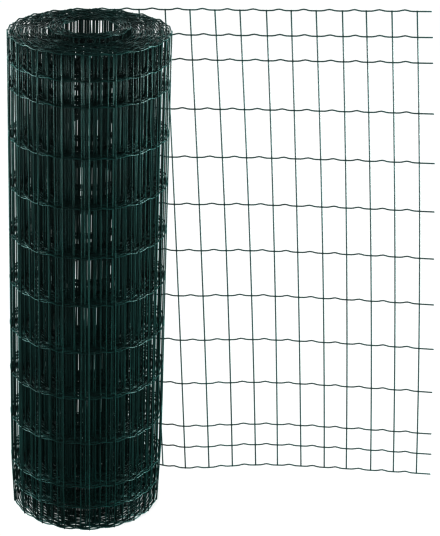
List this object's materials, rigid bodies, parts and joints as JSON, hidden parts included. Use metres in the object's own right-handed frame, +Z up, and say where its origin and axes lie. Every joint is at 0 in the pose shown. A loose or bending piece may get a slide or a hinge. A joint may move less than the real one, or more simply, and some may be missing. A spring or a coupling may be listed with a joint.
{
  "type": "roll of welded wire fencing",
  "caption": "Roll of plastic-coated welded wire mesh stood on end, with its free end unrolled beside it and an open core.",
  "frame": {"origin": "on the roll's own axis, at floor level", "axes": "+Z up along the roll's axis; +X along the free end, away from the roll; the free end leaves the roll on its +Y side"},
  "size_m": [0.888, 0.3618, 1.0074],
  "materials": {
    "coated_wire": "glossy dark moss-green plastic coating on galvanised steel wire"
  },
  "bodies": {
    "root": {"welded_mesh": "coated_wire"}
  },
  "joints": []
}
